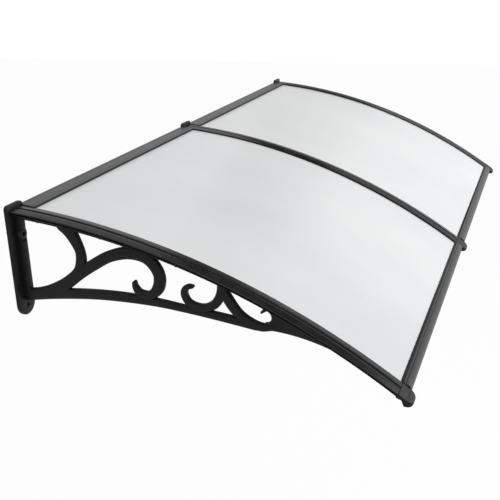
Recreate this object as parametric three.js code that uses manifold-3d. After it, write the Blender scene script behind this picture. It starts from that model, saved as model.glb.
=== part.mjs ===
// Door canopy: two curved translucent sheets carried by three scrollwork wall brackets.
// Millimetres. X runs along the wall, the wall is the plane y = 0, the canopy reaches out along -Y, +Z is up.
// The origin is on the back face of the middle bracket's wall plate, on the plate's centre line.
// Side-view sizes are written as (out, up): distance out from the wall, and height.
import * as THREE from 'three';
import { mergeVertices } from 'three/addons/utils/BufferGeometryUtils.js';
import Module from 'manifold-3d';

const wasm = await Module();
wasm.setup();

// Driving dimensions
const bracketPitch = 972;
const roofRadius = 1905;
const roofCentreOut = -154;
const roofCentreUp = -1772;
const gap = 0.3;

// Layers of the roof, as depths below the top edge of the cover strips
const stripThickness = 5;
const sheetThickness = 4.4;
const sheetTop = stripThickness + gap;
const flangeTop = sheetTop + sheetThickness + gap;
const flangeBottom = flangeTop + 4.5;
const webBottomRear = 23.5;
const webBottomFront = 17.5;

// Bracket
const webThickness = 18;
const edgeRound = 2.4;
const flangeWidth = 38;
const plateWidth = 63;
const plateTop = 138;
const plateFoot = -144;
const plateThickness = 10;
const plateTopRadius = 10;
const ribReach = 28;
const bossReach = 25;
const bossUp = 64;
const bossRadius = 14;
const lowerHoleUp = -119;
const wallHoleRadius = 4.5;

// Cover strips and their screws
const stripWidth = 53.5;
const stripStart = plateThickness + 2;
const stripEnd = 921;
const tongueWidth = 9;
const noseFront = 953;
const noseRound = 19;
const screwPlaces = [72, 236, 424, 850];
const screwRadius = 2.5;
const screwHeadRadius = 4.8;
const screwHeadHeight = 3.2;

// Sheets, rails and seals
const sheetStart = plateThickness + 1;
const sheetEnd = 931;
const sheetMargin = 6;
const railLength = bracketPitch - stripWidth - 2 * gap;
const rearRailReach = 44;
const rearRailRise = 1.5;
const rearRailWall = 2;
const rearRailDrop = 28;
const frontRailHeight = 19;
const frontRailGrip = 11;
const roofSteps = 18;

const plasticBlack = { color: 0x2a2b2c, roughness: 0.48, metalness: 0 };
const sheetMilk = { color: 0xdfe3e4, roughness: 0.22, metalness: 0 };
const rearGrey = { color: 0x77787c, roughness: 0.38, metalness: 0.85 };
const frontGrey = { color: 0x55575a, roughness: 0.36, metalness: 0.85 };
const sealBlack = { color: 0x1b1b1c, roughness: 0.8, metalness: 0 };
const screwSteel = { color: 0x9a9a98, roughness: 0.35, metalness: 1 };

// Angle of the roof's arc, from straight up, at a distance out from the wall
function roofAngle(out, depth = 0) {
  return Math.asin((out - roofCentreOut) / (roofRadius - depth));
}

// Point of the roof's arc at a depth below its top, in the side view
function roofPoint(angle, depth) {
  const radius = roofRadius - depth;
  return new THREE.Vector2(
    roofCentreOut + radius * Math.sin(angle),
    roofCentreUp + radius * Math.cos(angle)
  );
}

// Height of the roof's arc over a distance out from the wall
function roofHeight(out, depth) {
  return roofPoint(roofAngle(out, depth), depth).y;
}

// Path along the roof's arc, from the wall to the front
class RoofPath extends THREE.Curve {
  constructor(startOut, endOut) {
    super();
    this.start = roofAngle(startOut);
    this.end = roofAngle(endOut);
  }

  getPoint(t) {
    const point = roofPoint(THREE.MathUtils.lerp(this.start, this.end, t), 0);
    return new THREE.Vector3(0, -point.x, point.y);
  }
}

// Closed solid from a geometry, ready to be joined or cut
function solid(geometry) {
  const bare = geometry.clone();
  bare.deleteAttribute('normal');
  bare.deleteAttribute('uv');
  const merged = mergeVertices(bare, 1e-4);
  return new wasm.Manifold(new wasm.Mesh({
    numProp: 3,
    vertProperties: new Float32Array(merged.attributes.position.array),
    triVerts: new Uint32Array(merged.index.array),
  }));
}

// Geometry from a solid
function geometryOf(body) {
  const mesh = body.getMesh();
  const geometry = new THREE.BufferGeometry();
  geometry.setAttribute('position', new THREE.BufferAttribute(new Float32Array(mesh.vertProperties), 3));
  geometry.setIndex(new THREE.BufferAttribute(new Uint32Array(mesh.triVerts), 1));
  geometry.computeVertexNormals();
  return geometry;
}

// Side-view shape carried across the bracket, with its long edges rounded off
function across(shape, width, round = 0, curveSegments = 6) {
  const geometry = new THREE.ExtrudeGeometry(shape, {
    depth: width - 2 * round,
    curveSegments,
    bevelEnabled: round > 0,
    bevelThickness: round,
    bevelSize: round,
    bevelOffset: -round,
    bevelSegments: 1,
  });
  geometry.translate(0, 0, round - width / 2);
  return geometry.applyMatrix4(new THREE.Matrix4().makeBasis(
    new THREE.Vector3(0, -1, 0),
    new THREE.Vector3(0, 0, 1),
    new THREE.Vector3(-1, 0, 0)
  ));
}

// Shape seen from the front, standing out from the wall
function outward(shape, start, end, round = 0) {
  const geometry = new THREE.ExtrudeGeometry(shape, {
    depth: end - start - 2 * round,
    curveSegments: 5,
    bevelEnabled: round > 0,
    bevelThickness: round,
    bevelSize: round,
    bevelOffset: -round,
    bevelSegments: 1,
  });
  geometry.translate(0, 0, start + round);
  return geometry.applyMatrix4(new THREE.Matrix4().makeBasis(
    new THREE.Vector3(1, 0, 0),
    new THREE.Vector3(0, 0, 1),
    new THREE.Vector3(0, -1, 0)
  ));
}

// Section carried along the roof's arc: the section's x is across, its y is the depth below the arc
function alongRoof(section, startOut, endOut) {
  return new THREE.ExtrudeGeometry(section, {
    steps: roofSteps,
    curveSegments: 4,
    extrudePath: new RoofPath(startOut, endOut),
  });
}

// Mirror-symmetric section from the points of its +x half
function symmetricSection(half) {
  const points = half.map(([x, depth]) => new THREE.Vector2(x, depth));
  const mirrored = half.filter(([x]) => x > 0).reverse().map(([x, depth]) => new THREE.Vector2(-x, depth));
  return new THREE.Shape([...points, ...mirrored]);
}

// Tapered bar along a smooth curve through [out, up, width] stations, with round ends
function stroke(stations, steps, capSteps = 3) {
  const points = stations.map((station) => new THREE.Vector3(...station));
  const curve = new THREE.CatmullRomCurve3(points, false, 'centripetal');
  const left = [];
  const right = [];
  for (let i = 0; i <= steps; i++) {
    const at = curve.getPointAt(i / steps);
    const tangent = curve.getTangentAt(i / steps);
    const side = new THREE.Vector2(-tangent.y, tangent.x).normalize().multiplyScalar(at.z / 2);
    left.push(new THREE.Vector2(at.x + side.x, at.y + side.y));
    right.unshift(new THREE.Vector2(at.x - side.x, at.y - side.y));
  }
  return new THREE.Shape([
    ...left, ...roundEnd(left.at(-1), right[0], capSteps),
    ...right, ...roundEnd(right.at(-1), left[0], capSteps),
  ]);
}

// Points of a half circle, turning clockwise from one corner of a bar's end to the other
function roundEnd(from, to, steps) {
  const centre = from.clone().add(to).multiplyScalar(0.5);
  const points = [];
  for (let i = 1; i < steps; i++) {
    points.push(from.clone().rotateAround(centre, -Math.PI * i / steps));
  }
  return points;
}

// Straight-sided pin along the roof's normal, from one depth to another
function roofPin(out, radius, fromDepth, toDepth, sides) {
  const angle = roofAngle(out);
  const middle = roofPoint(angle, (fromDepth + toDepth) / 2);
  const pin = new THREE.CylinderGeometry(radius, radius, fromDepth - toDepth, sides);
  pin.rotateX(Math.PI / 2 + angle);
  return pin.translate(0, -middle.x, middle.y);
}

// Wall plate: a long tab with a round foot and softened top corners
function plateShape() {
  const half = plateWidth / 2;
  const corner = half - plateTopRadius;
  const shape = new THREE.Shape();
  shape.absarc(0, plateFoot + half, half, Math.PI, 2 * Math.PI, false);
  shape.absarc(corner, plateTop - plateTopRadius, plateTopRadius, 0, Math.PI / 2, false);
  shape.absarc(-corner, plateTop - plateTopRadius, plateTopRadius, Math.PI / 2, Math.PI, false);
  return shape;
}

// Upright rib on the wall plate, from the foot of the lower arm to the chord
function ribShape() {
  const shape = new THREE.Shape();
  shape.moveTo(plateThickness - 3, -100);
  shape.lineTo(ribReach - 6, -100);
  shape.lineTo(ribReach, -92);
  shape.lineTo(ribReach, roofHeight(ribReach, flangeBottom));
  shape.lineTo(plateThickness - 3, roofHeight(plateThickness, flangeBottom));
  return shape;
}

// Disc seen from the front, for the screw boss and the wall screw holes
function discShape(up, radius) {
  return new THREE.Shape().absarc(0, up, radius, 0, 2 * Math.PI, false);
}

// Flange of the chord, which carries the sheet edges
function flangeSection() {
  return symmetricSection([
    [flangeWidth / 2 - 1, flangeTop],
    [flangeWidth / 2, flangeTop + 1],
    [flangeWidth / 2, flangeBottom - 2],
    [flangeWidth / 2 - 3, flangeBottom],
  ]);
}

// Depth of the web's lower edge, which rises a little towards the front
function webBottom(out) {
  return THREE.MathUtils.mapLinear(out, 0, 900, webBottomRear, webBottomFront);
}

// Web of the chord, under the flange
function webShape() {
  const steps = 20;
  const upper = [];
  const lower = [];
  for (let i = 0; i <= steps; i++) {
    const out = THREE.MathUtils.lerp(plateThickness - 3, 924, i / steps);
    upper.push(roofPoint(roofAngle(out), flangeTop + 2));
    lower.unshift(roofPoint(roofAngle(out), webBottom(out)));
  }
  return new THREE.Shape([...upper, ...lower]);
}

// Scrollwork: each bar as stations of [out, up, width]
const scrollwork = [
  // Arch from the chord down to the foot of the lower arm
  { steps: 17, stations: [[138, 98, 38], [153, 81, 32], [174, 38, 22.5], [175.7, 14, 24.5],
    [167.5, -14, 26], [136, -43, 26], [92, -67, 23.5], [58, -79, 22], [20, -87, 22]] },
  // Large scroll that springs from the arch, rolls under the chord and curls back on the arm
  { steps: 25, stations: [[120, -61, 23], [172, -19.5, 26], [213, 8, 27], [254, 30.6, 26.5], [308, 43.4, 29],
    [350, 33, 28], [374.5, -2, 27], [370, -35, 27], [349, -54, 20], [324, -52.5, 18], [312.5, -38.5, 12],
    [310.5, -27.5, 7.5]] },
  // Lower arm
  { steps: 12, stations: [[16, -90.4, 30.5], [100, -79.4, 26], [200, -69.9, 23.4], [285, -67.4, 22.3],
    [370, -70.9, 18.4], [430, -76.9, 16.2], [500, -84.3, 17.5], [560, -91.8, 18.6], [604, -97.4, 19.8]] },
  // Small scroll that hangs from the chord and curls up from the arm
  { steps: 21, stations: [[527.5, 8, 26], [527, -18, 24], [519.5, -40, 21], [504, -60, 20], [477, -70, 17],
    [445, -61, 15], [434.5, -42, 15], [437, -29, 14], [446, -22.6, 10.5], [455, -22, 5.5]] },
  // Leaf that sweeps from the chord to the end of the arm
  { steps: 11, stations: [[521, 1, 13], [535, -34, 22.5], [562, -72.5, 21.5], [588, -89.5, 18.5],
    [614, -98.5, 18], [640, -96, 14]] },
  // Small hook over the leaf's round end
  { steps: 5, stations: [[640, -48, 10], [627, -54, 7], [617, -62, 5]] },
];

// Tapering gusset where the arm runs into the chord, hollowed by the leaf's round end
function gussetShape() {
  const round = { out: 624.5, up: -72.3, radius: 15.2 };
  const end = 785;
  const inside = flangeTop + 2;
  const shape = new THREE.Shape();
  shape.moveTo(round.out, -100);
  shape.lineTo(640, -103);
  shape.splineThru([
    new THREE.Vector2(662, -104.5), new THREE.Vector2(700, -110),
    new THREE.Vector2(740, -119.5), new THREE.Vector2(end, roofHeight(end, webBottom(end) - 1)),
  ]);
  shape.lineTo(end, roofHeight(end, inside));
  shape.lineTo(700, roofHeight(700, inside));
  shape.lineTo(round.out, roofHeight(round.out, inside));
  shape.absarc(round.out, round.up, round.radius, Math.PI / 2, -Math.PI / 2, true);
  return shape;
}

// Room under the flange's top face, which the scrollwork stays within
function underRoofShape() {
  const depth = flangeTop + 1.5;
  const end = 930;
  const shape = new THREE.Shape();
  shape.absarc(
    roofCentreOut, roofCentreUp, roofRadius - depth,
    Math.PI / 2 - roofAngle(0, depth), Math.PI / 2 - roofAngle(end, depth), true
  );
  shape.lineTo(end, 2 * plateFoot);
  shape.lineTo(0, 2 * plateFoot);
  return shape;
}

// Nose at the front end of the chord: a round-fronted cap that hangs a little below the rails
function noseShape() {
  const foot = -228;
  const back = roofAngle(stripEnd + gap);
  const topBack = roofPoint(back, -0.5);
  const topFront = roofPoint(roofAngle(noseFront - 15), 0.6);
  const lip = roofPoint(back, sheetTop);
  const shape = new THREE.Shape();
  shape.moveTo(topBack.x, topBack.y);
  shape.lineTo(topFront.x, topFront.y);
  shape.bezierCurveTo(noseFront, topFront.y - 8, noseFront + 5, foot, noseFront - 7, foot);
  shape.lineTo(932.5, foot);
  shape.lineTo(927.5, foot + 14);
  shape.lineTo(lip.x, lip.y);
  return shape;
}

// Plan of the nose, with round front corners
function nosePlan() {
  const half = stripWidth / 2;
  const corner = half - noseRound;
  const shape = new THREE.Shape();
  shape.absarc(corner, noseFront - noseRound, noseRound, 0, Math.PI / 2, false);
  shape.absarc(-corner, noseFront - noseRound, noseRound, Math.PI / 2, Math.PI, false);
  shape.lineTo(-half, stripEnd - 20);
  shape.lineTo(half, stripEnd - 20);
  const geometry = new THREE.ExtrudeGeometry(shape, { depth: 100, curveSegments: 5, bevelEnabled: false });
  return geometry.rotateX(Math.PI).translate(0, 0, -160);
}

// Nose with a pocket on each side for the front corners of the sheets
function noseBody() {
  let nose = solid(across(noseShape(), stripWidth, 2, 5)).intersect(solid(nosePlan()));
  for (const side of [-1, 1]) {
    const pocket = new THREE.Shape();
    pocket.moveTo(side * (sheetMargin - gap), sheetTop - gap);
    pocket.lineTo(side * stripWidth, sheetTop - gap);
    pocket.lineTo(side * stripWidth, sheetTop + sheetThickness + gap);
    pocket.lineTo(side * (sheetMargin - gap), sheetTop + sheetThickness + gap);
    nose = nose.subtract(solid(alongRoof(pocket, stripEnd - 20, sheetEnd + gap)));
  }
  return nose;
}

// One bracket, moulded in one piece
function bracketBody() {
  let body = solid(across(gussetShape(), webThickness, edgeRound * 0.8, 3));
  for (const { stations, steps } of scrollwork) {
    body = body.add(solid(across(stroke(stations, steps), webThickness, edgeRound * 0.8)));
  }
  body = body.add(solid(across(webShape(), webThickness, edgeRound * 0.8)));
  body = body.intersect(solid(across(underRoofShape(), plateWidth, 0, 12)));
  body = body.add(solid(alongRoof(flangeSection(), plateThickness - 3, 936)));
  body = body.add(noseBody());
  body = body.add(solid(across(ribShape(), webThickness, edgeRound * 0.8)));
  body = body.add(solid(outward(plateShape(), 0, plateThickness, 1.5)));
  body = body.subtract(solid(outward(discShape(bossUp, bossRadius + 1), bossReach, ribReach + 1)));
  body = body.add(solid(outward(discShape(bossUp, bossRadius), 2, bossReach, 1.5)));
  for (const up of [bossUp, lowerHoleUp]) {
    body = body.subtract(solid(outward(discShape(up, wallHoleRadius), -1, ribReach + 1)));
  }
  for (const out of screwPlaces) {
    body = body.subtract(solid(roofPin(out, screwRadius + gap, webBottom(out) + 4, flangeTop - 1, 8)));
  }
  return body;
}

// Cover strip: crowned wings over the sheet edges, a centre groove, and a tongue between the sheets
function stripBody() {
  const half = stripWidth / 2;
  const section = symmetricSection([
    [0, 2],
    [1.6, 0.4],
    [3.2, -1],
    [15, -1.2],
    [half - 3, -0.2],
    [half, 2.2],
    [half, stripThickness - 0.6],
    [half - 1, stripThickness],
    [tongueWidth / 2, stripThickness],
    [tongueWidth / 2, flangeTop - gap],
  ]);
  let body = solid(alongRoof(section, stripStart, stripEnd));
  for (const out of screwPlaces) {
    body = body.subtract(solid(roofPin(out, screwRadius + gap, flangeTop + 1, 3.4, 8)));
  }
  return body;
}

// Screw that draws the strip down on the chord, driven from below
function screwBody(out) {
  const seat = webBottom(out) + gap;
  const head = solid(roofPin(out, screwHeadRadius, seat + screwHeadHeight, seat, 10));
  const shank = solid(roofPin(out, screwRadius, seat + 1, 4, 8));
  return head.add(shank);
}

// Curved sheet between two brackets
function sheetBody() {
  const half = bracketPitch / 2 - sheetMargin;
  const section = symmetricSection([[half, sheetTop], [half, sheetTop + sheetThickness]]);
  return solid(alongRoof(section, sheetStart, sheetEnd));
}

// Rear rail: a channel on the wall that takes the sheet's back edge, its top wall on the slope of the roof
function rearRailShape() {
  const back = 1;
  const inside = back + rearRailWall;
  const under = rearRailWall - rearRailRise;
  const shape = new THREE.Shape();
  shape.moveTo(back, roofHeight(back, -rearRailRise) - rearRailDrop);
  shape.lineTo(inside, roofHeight(back, -rearRailRise) - rearRailDrop);
  shape.lineTo(inside, roofHeight(inside, flangeTop + rearRailWall));
  shape.lineTo(rearRailReach, roofHeight(rearRailReach, flangeTop + rearRailWall));
  shape.lineTo(rearRailReach, roofHeight(rearRailReach, flangeTop));
  shape.lineTo(inside, roofHeight(inside, flangeTop));
  shape.lineTo(inside, roofHeight(inside, under));
  shape.lineTo(rearRailReach, roofHeight(rearRailReach, under));
  shape.lineTo(rearRailReach, roofHeight(rearRailReach, 1 - rearRailRise));
  shape.lineTo(rearRailReach - 1, roofHeight(rearRailReach - 1, -rearRailRise));
  shape.lineTo(back, roofHeight(back, -rearRailRise));
  return shape;
}

// Rear rail cut back at both ends to clear the wall plates
function rearRailBody() {
  let rail = solid(across(rearRailShape(), railLength));
  for (const side of [-1, 1]) {
    const plate = new THREE.BoxGeometry(plateWidth + 2 * gap, 2 * (plateThickness + gap), 2 * plateTop);
    rail = rail.subtract(solid(plate.translate(side * bracketPitch / 2, 0, 0)));
  }
  return rail;
}

// Seal bead between the rear rail's top wall and the sheet
function rearSealShape() {
  const front = rearRailReach - 0.5;
  const back = rearRailReach - 10;
  const top = rearRailWall - rearRailRise + gap;
  const shape = new THREE.Shape();
  shape.moveTo(back, roofHeight(back, sheetTop - gap));
  shape.lineTo(front, roofHeight(front, sheetTop - gap));
  shape.lineTo(front, roofHeight(front, top));
  shape.lineTo(back, roofHeight(back, top));
  return shape;
}

// Front rail: a bull-nosed channel over the sheet's front edge, with x outward along the sheet and y up
function frontRailShape() {
  const half = frontRailHeight / 2;
  const slot = sheetThickness / 2 + gap;
  const shape = new THREE.Shape();
  shape.moveTo(gap, slot);
  shape.lineTo(gap - frontRailGrip, slot);
  shape.lineTo(gap - frontRailGrip, half - 1.5);
  shape.lineTo(1.5 - frontRailGrip, half);
  shape.lineTo(6, half);
  shape.absarc(6, 0, half, Math.PI / 2, -Math.PI / 2, true);
  shape.lineTo(gap - frontRailGrip * 0.7, -half);
  shape.lineTo(gap - frontRailGrip * 0.7, -slot);
  shape.lineTo(gap, -slot);
  return shape;
}

// Seal bead along the back of the front rail
function frontSealShape() {
  const back = -frontRailGrip;
  const top = sheetThickness / 2 + gap;
  const shape = new THREE.Shape();
  shape.moveTo(back, top);
  shape.lineTo(back, frontRailHeight / 2 - 2);
  shape.lineTo(back - 2.2, frontRailHeight / 2 - 3.5);
  shape.lineTo(back - 4.5, top);
  return shape;
}

// Shape given along the sheet's front edge, turned to the slope of the roof there
function onFrontEdge(shape, length) {
  const angle = roofAngle(sheetEnd);
  const middle = roofPoint(angle, sheetTop + sheetThickness / 2);
  const geometry = across(shape, length, 0, 7);
  geometry.rotateX(angle);
  return geometry.translate(0, -middle.x, middle.y);
}

const group = new THREE.Group();

// Named mesh with its own material, at a place along the wall
function place(name, geometry, look, x) {
  const mesh = new THREE.Mesh(geometry, new THREE.MeshStandardMaterial(look));
  mesh.name = name;
  mesh.position.x = x;
  group.add(mesh);
}

const bracket = geometryOf(bracketBody());
const strip = geometryOf(stripBody());
const screws = screwPlaces.map((out) => geometryOf(screwBody(out)));
const brackets = [['left', -bracketPitch], ['middle', 0], ['right', bracketPitch]];
for (const [side, x] of brackets) {
  place(`bracket_${side}`, bracket, plasticBlack, x);
  place(`cover_strip_${side}`, strip, plasticBlack, x);
  screws.forEach((screw, i) => place(`strip_screw_${side}_${i + 1}`, screw, screwSteel, x));
}

const sheet = geometryOf(sheetBody());
const rearRail = geometryOf(rearRailBody());
for (const [side, x] of [['left', -bracketPitch / 2], ['right', bracketPitch / 2]]) {
  place(`sheet_${side}`, sheet, sheetMilk, x);
  place(`rear_rail_${side}`, rearRail, rearGrey, x);
  place(`rear_seal_${side}`, across(rearSealShape(), railLength), sealBlack, x);
  place(`front_rail_${side}`, onFrontEdge(frontRailShape(), railLength), frontGrey, x);
  place(`front_seal_${side}`, onFrontEdge(frontSealShape(), railLength), sealBlack, x);
}

export default group;
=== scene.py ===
import math

import bmesh
import bpy
import numpy as np
from mathutils import Matrix, Vector
from mathutils.geometry import tessellate_polygon


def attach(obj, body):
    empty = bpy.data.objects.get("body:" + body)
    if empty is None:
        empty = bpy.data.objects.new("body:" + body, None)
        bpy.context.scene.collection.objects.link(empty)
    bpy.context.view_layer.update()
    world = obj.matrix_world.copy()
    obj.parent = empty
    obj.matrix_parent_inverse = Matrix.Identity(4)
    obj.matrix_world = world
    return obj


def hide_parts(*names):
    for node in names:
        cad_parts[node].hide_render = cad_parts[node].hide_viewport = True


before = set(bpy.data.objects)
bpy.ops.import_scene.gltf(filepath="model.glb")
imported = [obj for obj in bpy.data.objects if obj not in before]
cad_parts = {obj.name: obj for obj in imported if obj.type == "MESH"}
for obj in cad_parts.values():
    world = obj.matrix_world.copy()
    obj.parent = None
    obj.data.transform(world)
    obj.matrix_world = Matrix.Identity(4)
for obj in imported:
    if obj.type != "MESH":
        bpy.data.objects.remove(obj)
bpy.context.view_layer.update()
print("frame loaded:", len(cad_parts), "nodes")

# sizes are millimetres in the side view (out from the wall, up) and become metres in toFrame
perMetre = 1000
roof = {"radius": 1905, "centreOut": -154, "centreUp": -1772, "pitch": 972, "steps": 110}
layers = {"sheetTop": 5.3, "sheetBottom": 9.7, "flangeTop": 10.0, "flangeBottom": 14.5}
bays = {"left": -roof["pitch"] / 2, "right": roof["pitch"] / 2}
brackets = {"left": -roof["pitch"], "middle": 0.0, "right": roof["pitch"]}


# how far the roof's arc has turned from level
def roofTurn(out):
    return math.asin((out - roof["centreOut"]) / roof["radius"])


def roofPoint(out, depth):
    angle, reach = roofTurn(out), roof["radius"] - depth
    return roof["centreOut"] + reach * math.sin(angle), roof["centreUp"] + reach * math.cos(angle)


def roofHeight(out, depth):
    reach = roof["radius"] - depth
    return roof["centreUp"] + math.sqrt(reach ** 2 - (out - roof["centreOut"]) ** 2)


def toFrame(x, out, up):
    return x / perMetre, -out / perMetre, up / perMetre


# one wrapped socket; arithmetic on it adds Math nodes
class Link:
    def __init__(self, look, socket):
        self.look, self.socket = look, socket

    def maths(self, operation, first, second):
        return self.look.node("ShaderNodeMath", {"operation": operation}, {0: first, 1: second})

    def __add__(self, other):
        return self.maths("ADD", self, other)

    def __radd__(self, other):
        return self.maths("ADD", other, self)

    def __sub__(self, other):
        return self.maths("SUBTRACT", self, other)

    def __rsub__(self, other):
        return self.maths("SUBTRACT", other, self)

    def __mul__(self, other):
        return self.maths("MULTIPLY", self, other)

    def __rmul__(self, other):
        return self.maths("MULTIPLY", other, self)

    def __pow__(self, other):
        return self.maths("POWER", self, other)

    def __rpow__(self, other):
        return self.maths("POWER", other, self)


class Look:
    def __init__(self, name, tree=None):
        self.material = None if tree else bpy.data.materials.new(name)
        if self.material:
            self.material.use_nodes = True
        self.tree = tree or self.material.node_tree
        self.tree.nodes.clear()

    # any node: its settings first, then the values or links of its sockets
    def node(self, kind, settings=None, sockets=None, out=0):
        made = self.tree.nodes.new(kind)
        for key, value in (settings or {}).items():
            if key == "stops":
                for stop, (place, shade) in zip(made.color_ramp.elements, value):
                    stop.position, stop.color = place, (shade, shade, shade, 1)
            else:
                setattr(made, key, value)
        for key, value in (sockets or {}).items():
            if isinstance(value, Link):
                self.tree.links.new(value.socket, made.inputs[key])
            else:
                made.inputs[key].default_value = value
        return Link(self, made.outputs[out]) if len(made.outputs) else None

    def mixColour(self, factor, first, second):
        ends = {6: first, 7: second}
        ends = {key: end if isinstance(end, Link) else (*end, 1) for key, end in ends.items()}
        return self.node("ShaderNodeMix", {"data_type": "RGBA"}, {0: factor, **ends}, 2)

    def place(self, stretch):
        spot = self.node("ShaderNodeTexCoord", out="Object")
        return self.node("ShaderNodeVectorMath", {"operation": "MULTIPLY"}, {0: spot, 1: stretch})

    def noise(self, scale, detail, stretch=(1, 1, 1)):
        return self.node("ShaderNodeTexNoise", None, {
            "Vector": self.place(stretch), "Scale": scale, "Detail": detail, "Roughness": 0.55})

    # black up to low, white from high
    def ramp(self, value, low, high):
        return self.node("ShaderNodeValToRGB", {"stops": [(low, 0.0), (high, 1.0)]}, {0: value})

    def bump(self, height, strength, distance):
        sockets = {"Height": height, "Strength": strength, "Distance": distance}
        return self.node("ShaderNodeBump", None, sockets)

    # how much a face looks up, 0 to 1
    def upward(self):
        normal = self.node("ShaderNodeNewGeometry", out="Normal")
        return self.ramp(self.node("ShaderNodeSeparateXYZ", None, {0: normal}, "Z"), 0.0, 1.0)

    # edges picked out by the curve of the surface: wear, and also a painted highlight on convex edges
    def edges(self, low, high):
        return self.ramp(self.node("ShaderNodeNewGeometry", out="Pointiness"), low, high)

    def finish(self, sockets):
        shader = self.node("ShaderNodeBsdfPrincipled", None, sockets)
        self.node("ShaderNodeOutputMaterial", None, {0: shader})
        return self.material


# the edge colour is wear and also a painted highlight on convex edges; the dust colour is dust and also a
# painted sheen on upward faces
mouldingFinish = {"dark": (0.011, 0.0112, 0.0118), "light": (0.018, 0.0183, 0.0188),
                  "edgeWearAndHighlight": (0.042, 0.042, 0.043), "dust": (0.07, 0.069, 0.066), "gloss": 0.14, "rough": 0.32,
                  "grain": 0.08, "edgeWearAndHighlightShare": 0.5, "edgeWearAndHighlightRange": (0.52, 0.62), "dusting": 0.22}


def mouldingLook():
    look, made = Look("mouldedBlack"), mouldingFinish
    cloud = look.noise(7, 4)
    grain = look.noise(900, 2)
    scuff = look.noise(60, 5, (1, 0.35, 1))
    # convex edges lighter: wear, and also a painted highlight along the edges
    edgeWearAndHighlight = look.edges(*made["edgeWearAndHighlightRange"]) * look.ramp(look.noise(24, 4), 0.38, 0.7) * made["edgeWearAndHighlightShare"]
    # upward faces lighter: dust, and also a painted sheen on the upper faces
    dust = look.upward() ** 3 * look.ramp(look.noise(18, 5), 0.42, 0.8) * made["dusting"]
    colour = look.mixColour(cloud, made["dark"], made["light"])
    colour = look.mixColour(edgeWearAndHighlight, colour, made["edgeWearAndHighlight"])
    colour = look.mixColour(dust, colour, made["dust"])
    rough = made["rough"] + cloud * 0.1 + scuff * 0.08 + dust * 0.3
    return look.finish({"Base Color": colour, "Roughness": rough, "Specular IOR Level": made["gloss"],
                        "Normal": look.bump(grain, made["grain"], 0.0006)})


stripFinish = {"dark": (0.006, 0.0062, 0.0065), "light": (0.011, 0.0112, 0.0115),
               "dust": (0.09, 0.088, 0.085), "gloss": 0.17, "rough": 0.19, "grain": 0.03, "dusting": 0.16}


def stripLook():
    look, made = Look("drawnBlack"), stripFinish
    lines = look.noise(160, 3, (1, 0.02, 0.02))
    cloud = look.noise(9, 4)
    dust = look.upward() ** 2 * look.ramp(look.noise(26, 5), 0.45, 0.85) * made["dusting"]
    colour = look.mixColour(cloud * 0.6 + lines * 0.4, made["dark"], made["light"])
    colour = look.mixColour(dust, colour, made["dust"])
    rough = made["rough"] + cloud * 0.08 + lines * 0.05 + dust * 0.3
    return look.finish({"Base Color": colour, "Roughness": rough, "Specular IOR Level": made["gloss"],
                        "Normal": look.bump(lines + look.noise(700, 2) * 0.3, made["grain"], 0.0006)})


paneFinish = {"clear": (0.64, 0.646, 0.662), "cloudy": (0.722, 0.727, 0.725), "dirt": (0.54, 0.54, 0.525),
              "gloss": 0.2, "rough": 0.26, "waves": 0.05, "dirtShare": 0.14}


def paneLook():
    look, made = Look("milkPane"), paneFinish
    cloud = look.ramp(look.noise(2.2, 3, (1, 0.6, 1)), 0.32, 0.68)
    streak = look.noise(9, 4, (1, 0.12, 0.12))
    dirt = look.ramp(look.noise(55, 6), 0.55, 0.85) * made["dirtShare"]
    colour = look.mixColour(cloud * 0.7 + streak * 0.3, made["clear"], made["cloudy"])
    colour = look.mixColour(dirt, colour, made["dirt"])
    rough = made["rough"] + streak * 0.1 + dirt * 0.8
    waves = look.noise(3.5, 2, (1, 0.5, 0.5)) + look.noise(420, 2) * 0.012
    return look.finish({"Base Color": colour, "Roughness": rough, "Specular IOR Level": made["gloss"],
                        "Normal": look.bump(waves, made["waves"], 0.02)})


wallRailFinish = {"dark": (0.030, 0.0305, 0.032), "light": (0.062, 0.063, 0.065),
                  "mark": (0.016, 0.016, 0.017), "metal": 0.35, "gloss": 0.2, "rough": 0.27}
frontRailFinish = {"dark": (0.022, 0.0222, 0.023), "light": (0.042, 0.0422, 0.043),
                   "mark": (0.013, 0.013, 0.0135), "metal": 0.25, "gloss": 0.25, "rough": 0.22}


def railLook(name, made):
    look = Look(name)
    lines = look.noise(420, 3, (0.012, 1, 1))
    cloud = look.noise(4, 4, (0.5, 1, 1))
    scratch = look.ramp(look.noise(800, 2, (0.02, 1, 1)), 0.66, 0.78) * 0.5
    colour = look.mixColour(lines * 0.6 + cloud * 0.4, made["dark"], made["light"])
    colour = look.mixColour(scratch, colour, made["mark"])
    rough = made["rough"] + lines * 0.12 + cloud * 0.1
    return look.finish({"Base Color": colour, "Roughness": rough, "Metallic": made["metal"],
                        "Specular IOR Level": made["gloss"], "Normal": look.bump(lines, 0.1, 0.0004)})


beadFinish = {"dark": (0.008, 0.008, 0.0085), "light": (0.018, 0.018, 0.018), "gloss": 0.25, "rough": 0.6}


def beadLook():
    look, made = Look("sealRubber"), beadFinish
    cloud = look.noise(40, 4, (0.2, 1, 1))
    colour = look.mixColour(cloud, made["dark"], made["light"])
    return look.finish({"Base Color": colour, "Roughness": made["rough"] + cloud * 0.2,
                        "Specular IOR Level": made["gloss"],
                        "Normal": look.bump(look.noise(600, 2), 0.15, 0.0005)})


screwFinish = {"bright": (0.10, 0.10, 0.105), "dull": (0.045, 0.045, 0.047), "metal": 1.0, "rough": 0.25}


def screwLook():
    look, made = Look("screwBlackened"), screwFinish
    cloud = look.noise(300, 4)
    colour = look.mixColour(cloud, made["bright"], made["dull"])
    return look.finish({"Base Color": colour, "Roughness": made["rough"] + cloud * 0.25,
                        "Metallic": made["metal"], "Normal": look.bump(cloud, 0.1, 0.0003)})


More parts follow.
